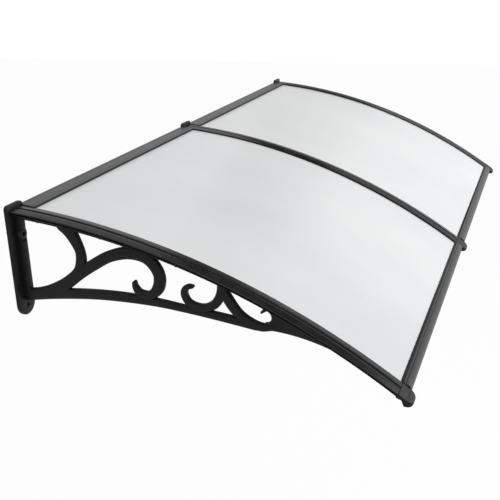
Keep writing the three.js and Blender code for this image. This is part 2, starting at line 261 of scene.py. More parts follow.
looks = {"moulding": mouldingLook(), "strip": stripLook(), "pane": paneLook(), "bead": beadLook(),
         "screw": screwLook(), "wallRail": railLook("wallRailGrey", wallRailFinish),
         "frontRail": railLook("frontRailGrey", frontRailFinish)}
print("finishes made:", len(looks))

sameSpot = 1e-6  # anything closer counts as one point


# a smooth-shaded piece from points in millimetres as (x, out, up)
def makePiece(name, points, faces, look, sharp=32):
    mesh = bpy.data.meshes.new(name)
    mesh.from_pydata([toFrame(*p) for p in points], [], faces)
    shape = bmesh.new()
    shape.from_mesh(mesh)
    bmesh.ops.remove_doubles(shape, verts=shape.verts, dist=sameSpot)
    bmesh.ops.dissolve_degenerate(shape, edges=shape.edges, dist=sameSpot)
    bmesh.ops.recalc_face_normals(shape, faces=shape.faces)
    shape.to_mesh(mesh)
    shape.free()
    mesh.shade_smooth()
    mesh.set_sharp_from_angle(angle=math.radians(sharp))
    mesh.materials.append(look)
    piece = bpy.data.objects.new(name, mesh)
    bpy.context.scene.collection.objects.link(piece)
    return piece


# the piece with other solids added to it or taken out of it
def combine(piece, others, operation, sharp):
    for other in others:
        step = piece.modifiers.new("step", "BOOLEAN")
        step.operation, step.solver, step.object = operation, "EXACT", other
    graph = bpy.context.evaluated_depsgraph_get()
    mesh = bpy.data.meshes.new_from_object(piece.evaluated_get(graph))
    piece.modifiers.clear()
    piece.data = mesh
    mesh.shade_smooth()
    mesh.set_sharp_from_angle(angle=math.radians(sharp))
    for other in others:
        bpy.data.objects.remove(other)


def joinPieces(name, pieces):
    shape = bmesh.new()
    for piece in pieces:
        shape.from_mesh(piece.data)
    mesh = bpy.data.meshes.new(name)
    shape.to_mesh(mesh)
    shape.free()
    mesh.materials.append(pieces[0].data.materials[0])
    for piece in pieces:
        bpy.data.objects.remove(piece)
    joined = bpy.data.objects.new(name, mesh)
    bpy.context.scene.collection.objects.link(joined)
    return joined


# the same mesh again at another place along the wall
def copyAlong(piece, name, x):
    copy = bpy.data.objects.new(name, piece.data.copy())
    copy.data.transform(Matrix.Translation((x / perMetre, 0, 0)))
    bpy.context.scene.collection.objects.link(copy)
    return copy


def handOver(piece, slot, *nodes):
    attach(piece, "root")
    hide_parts(*nodes)


# a copy of the pattern at each place along the wall
def placeCopies(pattern, places, name, slot, node):
    for side, x in places.items():
        handOver(copyAlong(pattern, f"{name}_{side}", x), slot, f"{node}_{side}")
    bpy.data.objects.remove(pattern)


# outward normals of a closed loop that has its solid on the left
def loopNormals(loop):
    along = np.roll(loop, -1, 0) - np.roll(loop, 1, 0)
    along /= np.maximum(np.linalg.norm(along, axis=1), 1e-9)[:, None]
    return np.stack([along[:, 1], -along[:, 0]], 1)


def loopArea(loop):
    after = np.roll(loop, -1, 0)
    return 0.5 * float(np.sum(loop[:, 0] * after[:, 1] - after[:, 0] * loop[:, 1]))


# distance along a run of points, from its first two columns
def runLength(run):
    return np.concatenate([[0], np.cumsum(np.linalg.norm(np.diff(run[:, :2], axis=0), axis=1))])


def evenLoop(loop, spacing, fewest=8):
    closed = np.vstack([loop, loop[:1]])
    along = runLength(closed)
    places = np.linspace(0, along[-1], max(fewest, round(along[-1] / spacing)), endpoint=False)
    return np.stack([np.interp(places, along, closed[:, k]) for k in (0, 1)], 1)


def evenRun(run, spacing, fewest=4):
    along = runLength(run)
    places = np.linspace(0, along[-1], max(fewest, round(along[-1] / spacing)))
    return np.stack([np.interp(places, along, run[:, k]) for k in range(run.shape[1])], 1)


def softened(loop, rounds):
    for _ in range(rounds):
        loop = 0.5 * loop + 0.25 * (np.roll(loop, 1, 0) + np.roll(loop, -1, 0))
    return loop


def circleLoop(centre, radius, count, hole=False):
    turns = np.linspace(0, 2 * math.pi, count, endpoint=False) * (-1 if hole else 1)
    return np.stack([centre[0] + radius * np.cos(turns), centre[1] + radius * np.sin(turns)], 1)


# loops drawn in the side view (out, up) or on the wall (x, up), with a height off that plane
def sideView(out, up, height):
    return height, out, up


def wallView(x, up, height):
    return x, height, up


def fillLoops(loops, starts):
    flat = [index for start, loop in zip(starts, loops) for index in range(start, start + len(loop))]
    triangles = tessellate_polygon([[Vector((*p, 0)) for p in loop] for loop in loops])
    return [tuple(flat[k] for k in triangle) for triangle in triangles]


# flat shape with round edges: loops in a plane, spread(a, b, height) puts a point in the frame
def roundPanel(loops, low, high, rounding, spread, steps=3):
    turns = [math.pi / 2 * k / steps for k in range(steps + 1)]
    lower = [(rounding * (1 - math.sin(t)), low + rounding * (1 - math.cos(t))) for t in turns]
    levels = lower + [(inset, low + high - height) for inset, height in reversed(lower)]
    points, faces, capStarts, capLoops = [], [], [], []
    for loop in loops:
        normals, count, first = loopNormals(loop), len(loop), len(points)
        for inset, height in levels:
            points += [spread(a, b, height) for a, b in loop - normals * inset]
        for level in range(len(levels) - 1):
            for k in range(count):
                a, b = first + level * count + k, first + level * count + (k + 1) % count
                faces.append((a, b, b + count, a + count))
        capLoops.append(loop - normals * rounding)
        capStarts.append((first, first + (len(levels) - 1) * count))
    for end in (0, 1):
        faces += fillLoops(capLoops, [starts[end] for starts in capStarts])
    return points, faces


# closed section carried through rings of points; each end is one face, or triangles from its end loop
def ringSolid(rings, endLoops=(None, None)):
    count = len(rings[0])
    points = [tuple(p) for ring in rings for p in ring]
    faces = []
    for level in range(len(rings) - 1):
        for k in range(count):
            a, b = level * count + k, level * count + (k + 1) % count
            faces.append((a, b, b + count, a + count))
    for start, loop in zip((0, len(points) - count), endLoops):
        faces += [tuple(range(start, start + count))] if loop is None else fillLoops([loop], [start])
    return points, faces


# the section with its solid on the left, and the smaller one at its eased ends
def easedSection(section, ease):
    section = np.array(section, float)
    if loopArea(section) < 0:
        section = section[::-1]
    return section, section - loopNormals(section) * ease


# section of (x, depth) along the roof's arc
def alongRoof(section, startOut, endOut, steps, ease):
    section, eased = easedSection(section, ease)
    stops = [(out, section) for out in np.linspace(startOut + ease, endOut - ease, steps)]
    stops = [(startOut, eased), *stops, (endOut, eased)]
    rings = [[(x, *roofPoint(out, depth)) for x, depth in shape] for out, shape in stops]
    return ringSolid(rings, (eased, eased))


# section of (out, up) along the wall
def alongWall(section, length, x, ease):
    section, eased = easedSection(section, ease)
    half = length / 2
    stops = [(-half, eased), (-half + ease, section), (half - ease, section), (half, eased)]
    rings = [[(x + at, out, up) for out, up in shape] for at, shape in stops]
    return ringSolid(rings, (eased, eased))


# a half section and its other half, from the middle round to the middle
def mirrored(half):
    return half + [(-x, depth) for x, depth in reversed(half) if x > 0]


# smooth curve through stations with any number of values, eased evenly between them
def smoothRun(stations, perStep):
    knots = [np.array(s, float) for s in stations]
    knots = [2 * knots[0] - knots[1], *knots, 2 * knots[-1] - knots[-2]]
    run = []
    for k in range(1, len(knots) - 2):
        p0, p1, p2, p3 = knots[k - 1:k + 3]
        gaps = ((p0, p1), (p1, p2), (p2, p3))
        d0, d1, d2 = (max(math.sqrt(np.linalg.norm(b - a)), sameSpot) for a, b in gaps)
        t1 = ((p1 - p0) / d0 - (p2 - p0) / (d0 + d1) + (p2 - p1) / d1) * d1
        t2 = ((p2 - p1) / d1 - (p3 - p1) / (d1 + d2) + (p3 - p2) / d2) * d1
        bow, twist = 3 * (p2 - p1) - 2 * t1 - t2, 2 * (p1 - p2) + t1 + t2
        run += [p1 + t1 * t + bow * t ** 2 + twist * t ** 3 for t in np.arange(perStep) / perStep]
    return np.array(run + [knots[-2]])


# bracket: oval scroll bars run into each other under a chord, between a wall plate and a nose
# a bar is a list of (out, up, width)
moulding = {
    "thickness": 18.0, "ovalPower": 3.2, "fuller": 1.2, "sides": 28, "spacing": 2.6, "perStep": 12,
    "tipTurns": (82, 66, 48, 30, 14), "tipPower": 0.5, "tipFullness": 1.02,
    "start": 7.0, "bury": 2.0, "sharp": 38, "panelSharp": 40,
    "bars": [
        [(138, 98, 38), (153, 81, 32), (174, 38, 22.5), (175.7, 14, 24.5), (167.5, -14, 26), (136, -43, 26),
         (92, -67, 23.5), (58, -79, 22), (20, -87, 22)],
        [(98, -77.5, 16), (120, -61, 23), (172, -19.5, 26), (213, 8, 27), (254, 30.6, 26.5),
         (308, 43.4, 29), (350, 33, 28), (374.5, -2, 27), (370, -35, 27), (349, -54, 20),
         (324, -52.5, 18), (312.5, -38.5, 12), (310.5, -27.5, 7.5)],
        [(16, -90.4, 30.5), (100, -79.4, 26), (200, -69.9, 23.4), (285, -67.4, 22.3), (370, -70.9, 18.4),
         (430, -76.9, 16.2), (500, -84.3, 17.5), (560, -91.8, 18.6), (604, -97.4, 19.8)],
        [(527.5, 8, 26), (527, -18, 24), (519.5, -40, 21), (504, -60, 20), (477, -70, 17), (445, -61, 15),
         (434.5, -42, 15), (437, -29, 14), (446, -22.6, 10.5), (455, -22, 5.5)],
        [(521, 1, 13), (535, -34, 22.5), (562, -72.5, 21.5), (588, -89.5, 18.5), (614, -98.5, 18),
         (640, -96, 14)],
        [(650, -38, 22), (637, -47, 14), (626.5, -54.5, 8.5), (617.5, -62, 4.5)],
    ],
}


# one scroll bar: an oval section carried along its run, with round ends
def makeBar(name, stations):
    run = evenRun(smoothRun(stations, moulding["perStep"]), moulding["spacing"])
    run[:, 2] += moulding["fuller"]
    ahead = np.gradient(run[:, :2], axis=0)
    ahead /= np.linalg.norm(ahead, axis=1)[:, None]
    turns = np.linspace(0, 2 * math.pi, moulding["sides"], endpoint=False)
    power, half = 2 / moulding["ovalPower"], moulding["thickness"] / 2
    across = np.sign(np.cos(turns)) * np.abs(np.cos(turns)) ** power
    depth = np.sign(np.sin(turns)) * np.abs(np.sin(turns)) ** power * half
    tips = [math.radians(a) for a in moulding["tipTurns"]]
    stops = [(run[0], ahead[0], -math.sin(t), math.cos(t)) for t in tips]
    stops += [(spot, way, 0.0, 1.0) for spot, way in zip(run, ahead)]
    stops += [(run[-1], ahead[-1], math.sin(t), math.cos(t)) for t in reversed(tips)]
    rings = []
    for (out, up, width), (aheadOut, aheadUp), past, size in stops:
        reach, side = past * width / 2, size * width / 2
        deep = min(1, size ** moulding["tipPower"] * moulding["tipFullness"])
        rings.append([(x * deep, out + aheadOut * reach - aheadUp * a * side,
                       up + aheadUp * reach + aheadOut * a * side) for a, x in zip(across, depth)])
    return makePiece(name, *ringSolid(rings), looks["moulding"])


# the chord under the flange, deeper towards the wall
web = {"thickness": 14.0, "rear": 23.5, "front": 17.5, "frontOut": 900, "end": 926.0, "rounding": 2.4,
       "cornerShare": 0.3}


def webBottom(out):
    return web["rear"] + (web["front"] - web["rear"]) * out / web["frontOut"]


def makeWeb():
    half, ease, top = web["thickness"] / 2, web["rounding"], layers["flangeTop"] + moulding["bury"]
    nick = ease * web["cornerShare"]
    rings = []
    for out in np.linspace(moulding["start"], web["end"], roof["steps"]):
        low = webBottom(out)
        section = [(-half, top), (half, top), (half, low - ease), (half - nick, low - nick),
                   (half - ease, low), (ease - half, low), (nick - half, low - nick), (-half, low - ease)]
        rings.append([(x, *roofPoint(out, depth)) for x, depth in section])
    return makePiece("web", *ringSolid(rings), looks["moulding"])


plate = {"width": 63.0, "top": 138.0, "foot": -144.0, "thickness": 10.0, "topRound": 10.0, "rounding": 1.8,
         "spacing": 2.0, "arcSteps": 24, "holes": (64.0, -119.0), "holeRadius": 4.5, "holeSides": 28}
boss = {"up": 64.0, "radius": 14.0, "reach": 25.0, "rounding": 1.6, "sides": 56, "bury": 2.0}


def plateLoops():
    half, corner = plate["width"] / 2, plate["topRound"]
    foot, top, side = plate["foot"] + half, plate["top"] - corner, half - corner
    arcs = [(0, foot, half, math.pi, 2 * math.pi), (side, top, corner, 0, math.pi / 2),
            (-side, top, corner, math.pi / 2, math.pi)]
    loop = [(x + r * math.cos(t), up + r * math.sin(t)) for x, up, r, a, b in arcs
            for t in np.linspace(a, b, plate["arcSteps"])]
    holes = [circleLoop((0, up), plate["holeRadius"], plate["holeSides"], True) for up in plate["holes"]]
    return [evenLoop(np.array(loop), plate["spacing"])] + holes


def makeWall():
    shape = roundPanel(plateLoops(), 0, plate["thickness"], plate["rounding"], wallView)
    return makePiece("wall", *shape, looks["moulding"], moulding["panelSharp"])


def makeBoss():
    middle = (0, boss["up"])
    loops = [circleLoop(middle, boss["radius"], boss["sides"]),
             circleLoop(middle, plate["holeRadius"], plate["holeSides"], True)]
    shape = roundPanel(loops, plate["thickness"] - boss["bury"], boss["reach"], boss["rounding"], wallView)
    return makePiece("ring", *shape, looks["moulding"], moulding["panelSharp"])


# flat side-view shape in the middle of the bracket
def sidePanel(name, loop, made):
    half = made["thickness"] / 2
    shape = roundPanel([loop], -half, half, made["rounding"], sideView, made["edgeSteps"])
    return makePiece(name, *shape, looks["moulding"], moulding["panelSharp"])


# the rib on the wall plate, spot-faced where the boss stands
rib = {"thickness": 17.2, "reach": 28.0, "foot": -100.0, "toe": (6.0, 8.0), "faceBack": 3.0, "faceRoom": 0.5,
       "faceSlope": 1.5, "spacing": 1.0, "softening": 12, "rounding": 3.0, "edgeSteps": 5}


def makeRib():
    reach, foot, start = rib["reach"], rib["foot"], moulding["start"]
    face, slope, (toeOut, toeUp) = boss["reach"] - rib["faceBack"], rib["faceSlope"], rib["toe"]
    low = boss["up"] - boss["radius"] - rib["faceRoom"]
    high = boss["up"] + boss["radius"] + rib["faceRoom"]
    top = layers["flangeTop"] + moulding["bury"]
    loop = [(start, foot), (reach - toeOut, foot), (reach, foot + toeUp), (reach, low), (face, low + slope),
            (face, high - slope), (reach, high), (reach, roofHeight(reach, top)),
            (start, roofHeight(start, top))]
    loop = evenLoop(np.array(loop, float), rib["spacing"])
    return sidePanel("rib", softened(loop, rib["softening"]), rib)


# the plate that closes the front of the scrollwork, with a round hollow behind
gusset = {"thickness": 12.6, "lower": [(640, -103), (662, -104.5), (700, -110), (740, -119.5), (785, -134)],
          "upper": (785, 740, 700, 660), "heel": -100, "hollow": (624.5, -72.3, 15.2), "hollowSteps": 16,
          "perStep": 8, "spacing": 2.5, "rounding": 1.6, "edgeSteps": 4}


def makeGusset():
    out, up, radius = gusset["hollow"]
    turns = np.linspace(math.pi / 2, -math.pi / 2, gusset["hollowSteps"])
    top = layers["flangeTop"] + moulding["bury"]
    loop = [(out, gusset["heel"]), *smoothRun(gusset["lower"], gusset["perStep"])]
    loop += [(place, roofHeight(place, top)) for place in (*gusset["upper"], out)]
    loop += [(out + radius * math.cos(t), up + radius * math.sin(t)) for t in turns]
    return sidePanel("gusset", evenLoop(np.array(loop, float), gusset["spacing"]), gusset)


# the flange that carries the sheets; its edge is drawn from the outer top corner
flange = {"width": 38.0, "end": 936.0, "edge": [(-0.6, 0.0), (0.0, 0.5), (0.0, 1.7), (-0.5, 2.2)],
          "taper": 9.0, "ease": 0.5}


def makeFlange():
    wing, top, bottom = flange["width"] / 2, layers["flangeTop"], layers["flangeBottom"]
    edge = [(wing + x, top + depth) for x, depth in flange["edge"]]
    section = mirrored([(0, top), *edge, (wing - flange["taper"], bottom), (0, bottom)])
    shape = alongRoof(section, moulding["start"], flange["end"], roof["steps"], flange["ease"])
    return makePiece("flange", *shape, looks["moulding"])


# the nose at the front end: a bent side view, clipped to a plan with round front corners
nose = {"front": 953.0, "back": 921.3, "foot": -228.0, "heel": 932.5, "width": 53.5, "round": 19.0,
        "proud": 0.5, "browBack": 15.0, "browSink": 0.6, "browDrop": 8.0, "bulge": 5.0, "toe": 7.0,
        "heelBack": 5.0, "heelRise": 14.0, "lipRise": 3.0, "bendSteps": 24, "spacing": 1.2, "softening": 2,
        "rounding": 2.4, "edgeSteps": 4, "across": 40, "cornerEase": 3.0, "sharp": 45}


def noseLoop():
    front, foot, back = nose["front"], nose["foot"], nose["back"]
    top, lip = roofPoint(back, -nose["proud"]), roofPoint(back, layers["flangeBottom"] - nose["lipRise"])
    brow = roofPoint(front - nose["browBack"], nose["browSink"])
    pulls = [brow, (front, brow[1] - nose["browDrop"]), (front + nose["bulge"], foot),
             (front - nose["toe"], foot)]
    p0, p1, p2, p3 = (np.array(p) for p in pulls)
    bend = [p0 * (1 - t) ** 3 + 3 * p1 * t * (1 - t) ** 2 + 3 * p2 * t ** 2 * (1 - t) + p3 * t ** 3
            for t in np.linspace(0, 1, nose["bendSteps"])]
    heel = [(nose["heel"], foot), (nose["heel"] - nose["heelBack"], foot + nose["heelRise"])]
    loop = np.array([top, *bend, *heel, lip])[::-1]
    loop = softened(evenLoop(loop, nose["spacing"]), nose["softening"])
    return loop[::-1] if loopArea(loop) < 0 else loop


def noseRings():
    loop, half, edge = noseLoop(), nose["width"] / 2, nose["rounding"]
    corner, ease, steps = nose["round"], nose["cornerEase"], nose["edgeSteps"]
    turns = [math.pi / 2 * k / steps for k in range(steps + 1)]
    ends = [(half - edge + edge * math.sin(t), edge * (1 - math.cos(t))) for t in turns]
    flat = [(x, 0.0) for x in np.linspace(-half + edge, half - edge, nose["across"])[1:-1]]
    rings = []
    for x, inset in [(-x, inset) for x, inset in reversed(ends)] + flat + ends:
        ring = loop - loopNormals(loop) * inset
        past = max(abs(x) - (half - corner), 0)
        limit = nose["front"] - corner + math.sqrt(max(corner ** 2 - past ** 2, 0))
        slack = np.clip((ring[:, 0] - limit + ease) / (2 * ease), 0, None)
        eased = np.where(slack < 1, limit - ease + 2 * ease * (slack - slack ** 2 / 2), limit)
        rings.append([(x, e if s > 0 else out, up) for (out, up), s, e in zip(ring, slack, eased)])
    return rings


def makeNose():
    rings = noseRings()
    ends = [np.array([p[1:] for p in rings[end]]) for end in (0, -1)]
    return makePiece("cap", *ringSolid(rings, ends), looks["moulding"], nose["sharp"])


# taken out of the scrollwork: the wall screw's bore, and what would stand up through the flange
bore = {"from": -2, "to": 40, "ease": 0.1}
trim = {"half": 30, "above": -60, "depth": 11.5, "from": -40, "to": 990, "steps": 60, "ease": 0.01}


def makeCuts():
    loop = circleLoop((0, boss["up"]), plate["holeRadius"], plate["holeSides"])
    drill = roundPanel([loop], bore["from"], bore["to"], bore["ease"], wallView, 1)
    half, above, depth = trim["half"], trim["above"], trim["depth"]
    section = [(-half, above), (half, above), (half, depth), (-half, depth)]
    over = alongRoof(section, trim["from"], trim["to"], trim["steps"], trim["ease"])
    return [makePiece(name, *shape, looks["moulding"]) for name, shape in (("drill", drill), ("trim", over))]


def makeMoulding():
    bars = [makeBar(f"bar{k}", stations) for k, stations in enumerate(moulding["bars"])]
    scroll = makeWeb()
    combine(scroll, bars + [makeRib(), makeGusset()], "UNION", moulding["sharp"])
    combine(scroll, makeCuts(), "DIFFERENCE", moulding["sharp"])
    return joinPieces("mouldingPattern", [scroll, makeFlange(), makeWall(), makeBoss(), makeNose()])


placeCopies(makeMoulding(), brackets, "moulding", "bracket_plastic", "bracket")
print("mouldings made:", len(brackets))

# cover strip: two thin wings with lips over the sheets, on either side of a square-walled groove,
# with a tongue between the sheets; points are (from the middle, depth)
strip = {"start": 12.0, "end": 921.0, "width": 53.5, "thickness": 5.0, "ease": 0.7, "sharp": 28,
         "tongue": 4.5, "tongueGap": 0.3, "tongueEdge": 0.5, "grooveHalf": 3.0, "grooveFloor": 1.3,
         "floorCorner": [(-0.6, 0.0), (-0.1, -0.5)], "shoulder": [(0.2, -0.5), (0.7, -1.0)],
         "wing": [(4.4, -1.25), (5.4, -1.4), (10.5, -0.95), (15, -0.45), (19.5, 0.05), (23.5, 0.5),
                  (25.6, 0.8), (26.5, 1.1), (26.75, 1.5), (26.7, 1.9), (26.2, 2.2), (24.6, 2.3), (24.0, 2.7),
                  (23.9, 4.6), (23.5, 5.0), (20.4, 5.0), (20.0, 4.6), (20.0, 2.5), (19.4, 2.0), (12.4, 2.0),
                  (11.8, 2.5), (11.8, 4.6), (11.4, 5.0)]}


def stripSection():
    floor, groove, under = strip["grooveFloor"], strip["grooveHalf"], layers["flangeTop"] - strip["tongueGap"]
    tongue, edge = strip["tongue"], strip["tongueEdge"]
    corner = [(groove + x, floor + depth) for x, depth in strip["floorCorner"]]
    shoulder = [(groove + x, depth) for x, depth in strip["shoulder"]]
    lower = [(tongue, strip["thickness"]), (tongue, under - edge), (tongue - edge, under), (0, under)]
    return mirrored([(0, floor), *corner, *shoulder, *strip["wing"], *lower])


stripShape = alongRoof(stripSection(), strip["start"], strip["end"], roof["steps"], strip["ease"])
placeCopies(makePiece("stripPattern", *stripShape, looks["strip"], strip["sharp"]), brackets,
            "strip", "strip_plastic", "cover_strip")
print("cover strips made:", len(brackets))

# panes: one curved plate in each bay
pane = {"start": 11.0, "end": 931.0, "margin": 6.0, "across": 24, "edge": 0.7, "ease": 0.5, "sharp": 30}


def paneSection():
    half, edge = roof["pitch"] / 2 - pane["margin"], pane["edge"]
    top, bottom = layers["sheetTop"], layers["sheetBottom"]
    upper = [(x, top) for x in np.linspace(-half + edge, half - edge, pane["across"])]
    lower = [(x, bottom) for x in np.linspace(half - edge, -half + edge, pane["across"])]
    right, left = [(half, top + edge), (half, bottom - edge)], [(-half, bottom - edge), (-half, top + edge)]
    return upper + right + lower + left


paneShape = alongRoof(paneSection(), pane["start"], pane["end"], roof["steps"], pane["ease"])
placeCopies(makePiece("panePattern", *paneShape, looks["pane"], pane["sharp"]), bays,
            "pane", "sheet_polycarbonate", "sheet")
print("panes made:", len(bays))

# wall rail: a channel with a grooved top wall and a rounded front lip, notched for the wall plates
rail = {"gap": 0.6, "back": 1.0, "reach": 44.0, "rise": 1.5, "wall": 2.0, "drop": 28.0, "corner": 0.8,
        "edge": 0.5, "shelfEdge": 0.6, "lip": [(0.0, 0.8), (-0.3, 0.3), (-0.8, 0.05), (-1.4, 0.0)],
        "grooves": (9.0, 33.0), "grooveDepth": 0.7, "grooveWidth": 1.6, "grooveSlope": 0.4,
        "notchRoom": 0.3, "notchBack": -2, "notchUp": (90, 140), "ease": 0.6, "sharp": 30}
rail["length"] = roof["pitch"] - strip["width"] - rail["gap"]


def wallRailSection():
    back, reach, rise, wall, edge = rail["back"], rail["reach"], rail["rise"], rail["wall"], rail["edge"]
    inside, under, shelf, high = back + wall, wall - rise, layers["flangeTop"], roofHeight(back, -rise)
    ledge, shelfEdge, bottom = shelf + wall, rail["shelfEdge"], high - rail["drop"]
    roofed = [(inside, ledge), (reach - shelfEdge, ledge), (reach, ledge - shelfEdge), (reach, shelf + edge),
              (reach - edge, shelf), (inside, shelf), (inside, under), (reach - edge, under),
              (reach, under - edge)]
    roofed += [(reach + out, depth - rise) for out, depth in rail["lip"]]
    half, floor, slope = rail["grooveWidth"] / 2, rail["grooveDepth"] - rise, rail["grooveSlope"]
    for middle in reversed(rail["grooves"]):
        roofed += [(middle + half, -rise), (middle + half - slope, floor),
                   (middle - half + slope, floor), (middle - half, -rise)]
    points = [(back, bottom), (inside, bottom), *((out, roofHeight(out, depth)) for out, depth in roofed)]
    return points + [(back + rail["corner"], high), (back, high - rail["corner"])]


def blockAt(name, low, high):
    acrosses, outs, ups = zip(low, high)
    corners = [(x, out, up) for x in acrosses for out in outs for up in ups]
    sides = [(0, 1, 3, 2), (4, 6, 7, 5), (0, 4, 5, 1), (2, 3, 7, 6), (0, 2, 6, 4), (1, 5, 7, 3)]
    return makePiece(name, corners, sides, looks["wallRail"])


# what the wall plates take out of a rail's two ends
def plateNotches(x):
    half, deep = plate["width"] / 2 + rail["notchRoom"], plate["thickness"] + rail["notchRoom"]
    low, high = rail["notchUp"]
    ends = [x + way * roof["pitch"] / 2 for way in (-1, 1)]
    return [blockAt("room", (end - half, rail["notchBack"], low), (end + half, deep, high)) for end in ends]


# seal in the mouth of the wall rail, just over the sheet
wallBead = {"setBack": 0.5, "depth": 10.0, "gap": 0.3, "heel": 0.5, "edge": 0.6, "bulge": (0.2, 2.2),
            "ease": 0.3, "sharp": 40}


def wallBeadSection():
    front, rear = rail["reach"] - wallBead["setBack"], rail["reach"] - wallBead["depth"]
    top, low = rail["wall"] - rail["rise"] + wallBead["gap"], layers["sheetTop"] - wallBead["gap"]
    edge, (bulgeOut, bulgeUp) = wallBead["edge"], wallBead["bulge"]
    face = [(front - wallBead["heel"], low), (front, low - edge), (front + bulgeOut, low - bulgeUp),
            (front, top + edge), (front - edge, top)]
    face = [(out, roofHeight(front, depth)) for out, depth in face]
    return [(rear, roofHeight(rear, low)), *face, (rear, roofHeight(rear, top))]


for side, x in bays.items():
    shape = alongWall(wallRailSection(), rail["length"], x, rail["ease"])
    piece = makePiece(f"wallRail_{side}", *shape, looks["wallRail"], rail["sharp"])
    combine(piece, plateNotches(x), "DIFFERENCE", rail["sharp"])
    handOver(piece, "rear_rail_aluminium", f"rear_rail_{side}")
    shape = alongWall(wallBeadSection(), rail["length"], x, wallBead["ease"])
    bead = makePiece(f"wallBead_{side}", *shape, looks["bead"], wallBead["sharp"])
    handOver(bead, "seal_rubber", f"rear_seal_{side}")
print("wall rails made:", len(bays))

# front rail: a bull-nosed channel over the sheet's front edge, drawn along the sheet (x) and off it (y)
# its lip is drawn from the rear top corner
frontRail = {"height": 19.0, "grip": 11.0, "gripBelow": 0.7, "slot": 2.5, "slotEnd": 0.3, "edge": 0.5,
             "lip": [(0.0, -2.2), (0.4, -1.2), (1.2, -0.8)],
             "groove": -5.0, "grooveAcross": (-1.2, -0.7, 0.3, 0.9, 2.4), "grooveSink": 0.7,
             "grooveDepth": 1.1, "grooveRim": 0.25,
             "noseStart": 2.5, "noseReach": 13.0, "noseSteps": 30, "ease": 0.6, "sharp": 30}


def onFrontEdge(points):
    turn = roofTurn(pane["end"])
    out, up = roofPoint(pane["end"], (layers["sheetTop"] + layers["sheetBottom"]) / 2)
    c, s = math.cos(turn), math.sin(turn)
    return [(out + x * c + y * s, up - x * s + y * c) for x, y in points]


def frontRailSection():
    half, slot, edge = frontRail["height"] / 2, frontRail["slot"], frontRail["edge"]
    end, grip = frontRail["slotEnd"], frontRail["grip"]
    back, backBelow = end - grip, end - grip * frontRail["gripBelow"]
    points = [(end, slot), (back + edge, slot), (back, slot + edge)]
    points += [(back + x, half + y) for x, y in frontRail["lip"]]
    sunk = half - frontRail["grooveSink"]
    floor = sunk - frontRail["grooveDepth"]
    heights = (sunk, floor, floor, half - frontRail["grooveRim"], half)
    points += [(frontRail["groove"] + x, y) for x, y in zip(frontRail["grooveAcross"], heights)]
    for turn in np.linspace(math.pi / 2, -math.pi / 2, frontRail["noseSteps"]):
        reach = frontRail["noseReach"] * math.cos(turn)
        points.append((frontRail["noseStart"] + reach, half * math.sin(turn)))
    return points + [(backBelow + edge, -half), (backBelow, -half + edge), (backBelow, -slot - edge),
                     (backBelow + edge, -slot), (end, -slot)]


# seal behind the front rail's upper lip; its slope starts at the lip, its toe ends just over the sheet
frontBead = {"inset": 2.0, "slope": [(0.0, 0.0), (-1.2, -0.4), (-2.6, -1.6), (-3.7, -3.2)],
             "toe": [(-4.3, 0.6), (-4.2, 0.0)], "ease": 0.3, "sharp": 50}


def frontBeadSection():
    back, top, high = -frontRail["grip"], frontRail["slot"], frontRail["height"] / 2 - frontBead["inset"]
    slope = [(back + x, high + y) for x, y in frontBead["slope"]]
    return [(back, top), *slope, *((back + x, top + y) for x, y in frontBead["toe"])]


for side, x in bays.items():
    shape = alongWall(onFrontEdge(frontRailSection()), rail["length"], x, frontRail["ease"])
    piece = makePiece(f"frontRail_{side}", *shape, looks["frontRail"], frontRail["sharp"])
    handOver(piece, "front_rail_aluminium", f"front_rail_{side}")
    shape = alongWall(onFrontEdge(frontBeadSection()), rail["length"], x, frontBead["ease"])
    bead = makePiece(f"frontBead_{side}", *shape, looks["bead"], frontBead["sharp"])
    handOver(bead, "seal_rubber", f"front_seal_{side}")
print("front rails made:", len(bays))

# strip screws: low round heads with a cross recess, under the chords
screw = {"places": (72, 236, 424, 850), "shank": 2.5, "head": 4.8, "height": 1.7, "rim": 0.25, "depth": 12.0,
         "axis": 0.01, "sides": 32, "domeSteps": 8, "recess": (0.9, 5.0, 1.1), "recessOver": 1, "seat": 0.3,
         "sharp": 35}


def makeScrew():
    head, top, shank, depth = screw["head"], screw["height"], screw["shank"], screw["depth"]
    rim, axis, over = screw["rim"], screw["axis"], screw["recessOver"]
    dome = [(head * math.sin(t), top * (rim + (1 - rim) * math.cos(t)))
            for t in np.linspace(0, math.pi / 2, screw["domeSteps"])]
    profile = [(axis, top), *dome[1:], (head, 0.0), (shank, 0.0), (shank, -depth), (axis, -depth)]
    turns = np.linspace(0, 2 * math.pi, screw["sides"], endpoint=False)
    rings = [[(r * math.cos(t), r * math.sin(t), h) for t in turns] for r, h in profile]
    piece = makePiece("screwPattern", *ringSolid(rings), looks["screw"], screw["sharp"])
    wide, long, deep = screw["recess"]
    combine(piece, [blockAt("slot", (-a / 2, -b / 2, top - deep), (a / 2, b / 2, top + over))
                    for a, b in ((wide, long), (long, wide))], "DIFFERENCE", screw["sharp"])
    return piece


pattern = makeScrew()
for side, x in brackets.items():
    for number, out in enumerate(screw["places"], 1):
        seat = roofPoint(out, webBottom(out) + screw["seat"])
        piece = bpy.data.objects.new(f"screw_{side}_{number}", pattern.data.copy())
        turn = Matrix.Rotation(math.pi + roofTurn(out), 4, "X")
        piece.data.transform(Matrix.Translation(toFrame(x, *seat)) @ turn)
        bpy.context.scene.collection.objects.link(piece)
        handOver(piece, "screw_steel", f"strip_screw_{side}_{number}")
bpy.data.objects.remove(pattern)
print("screws made:", len(brackets) * len(screw["places"]))

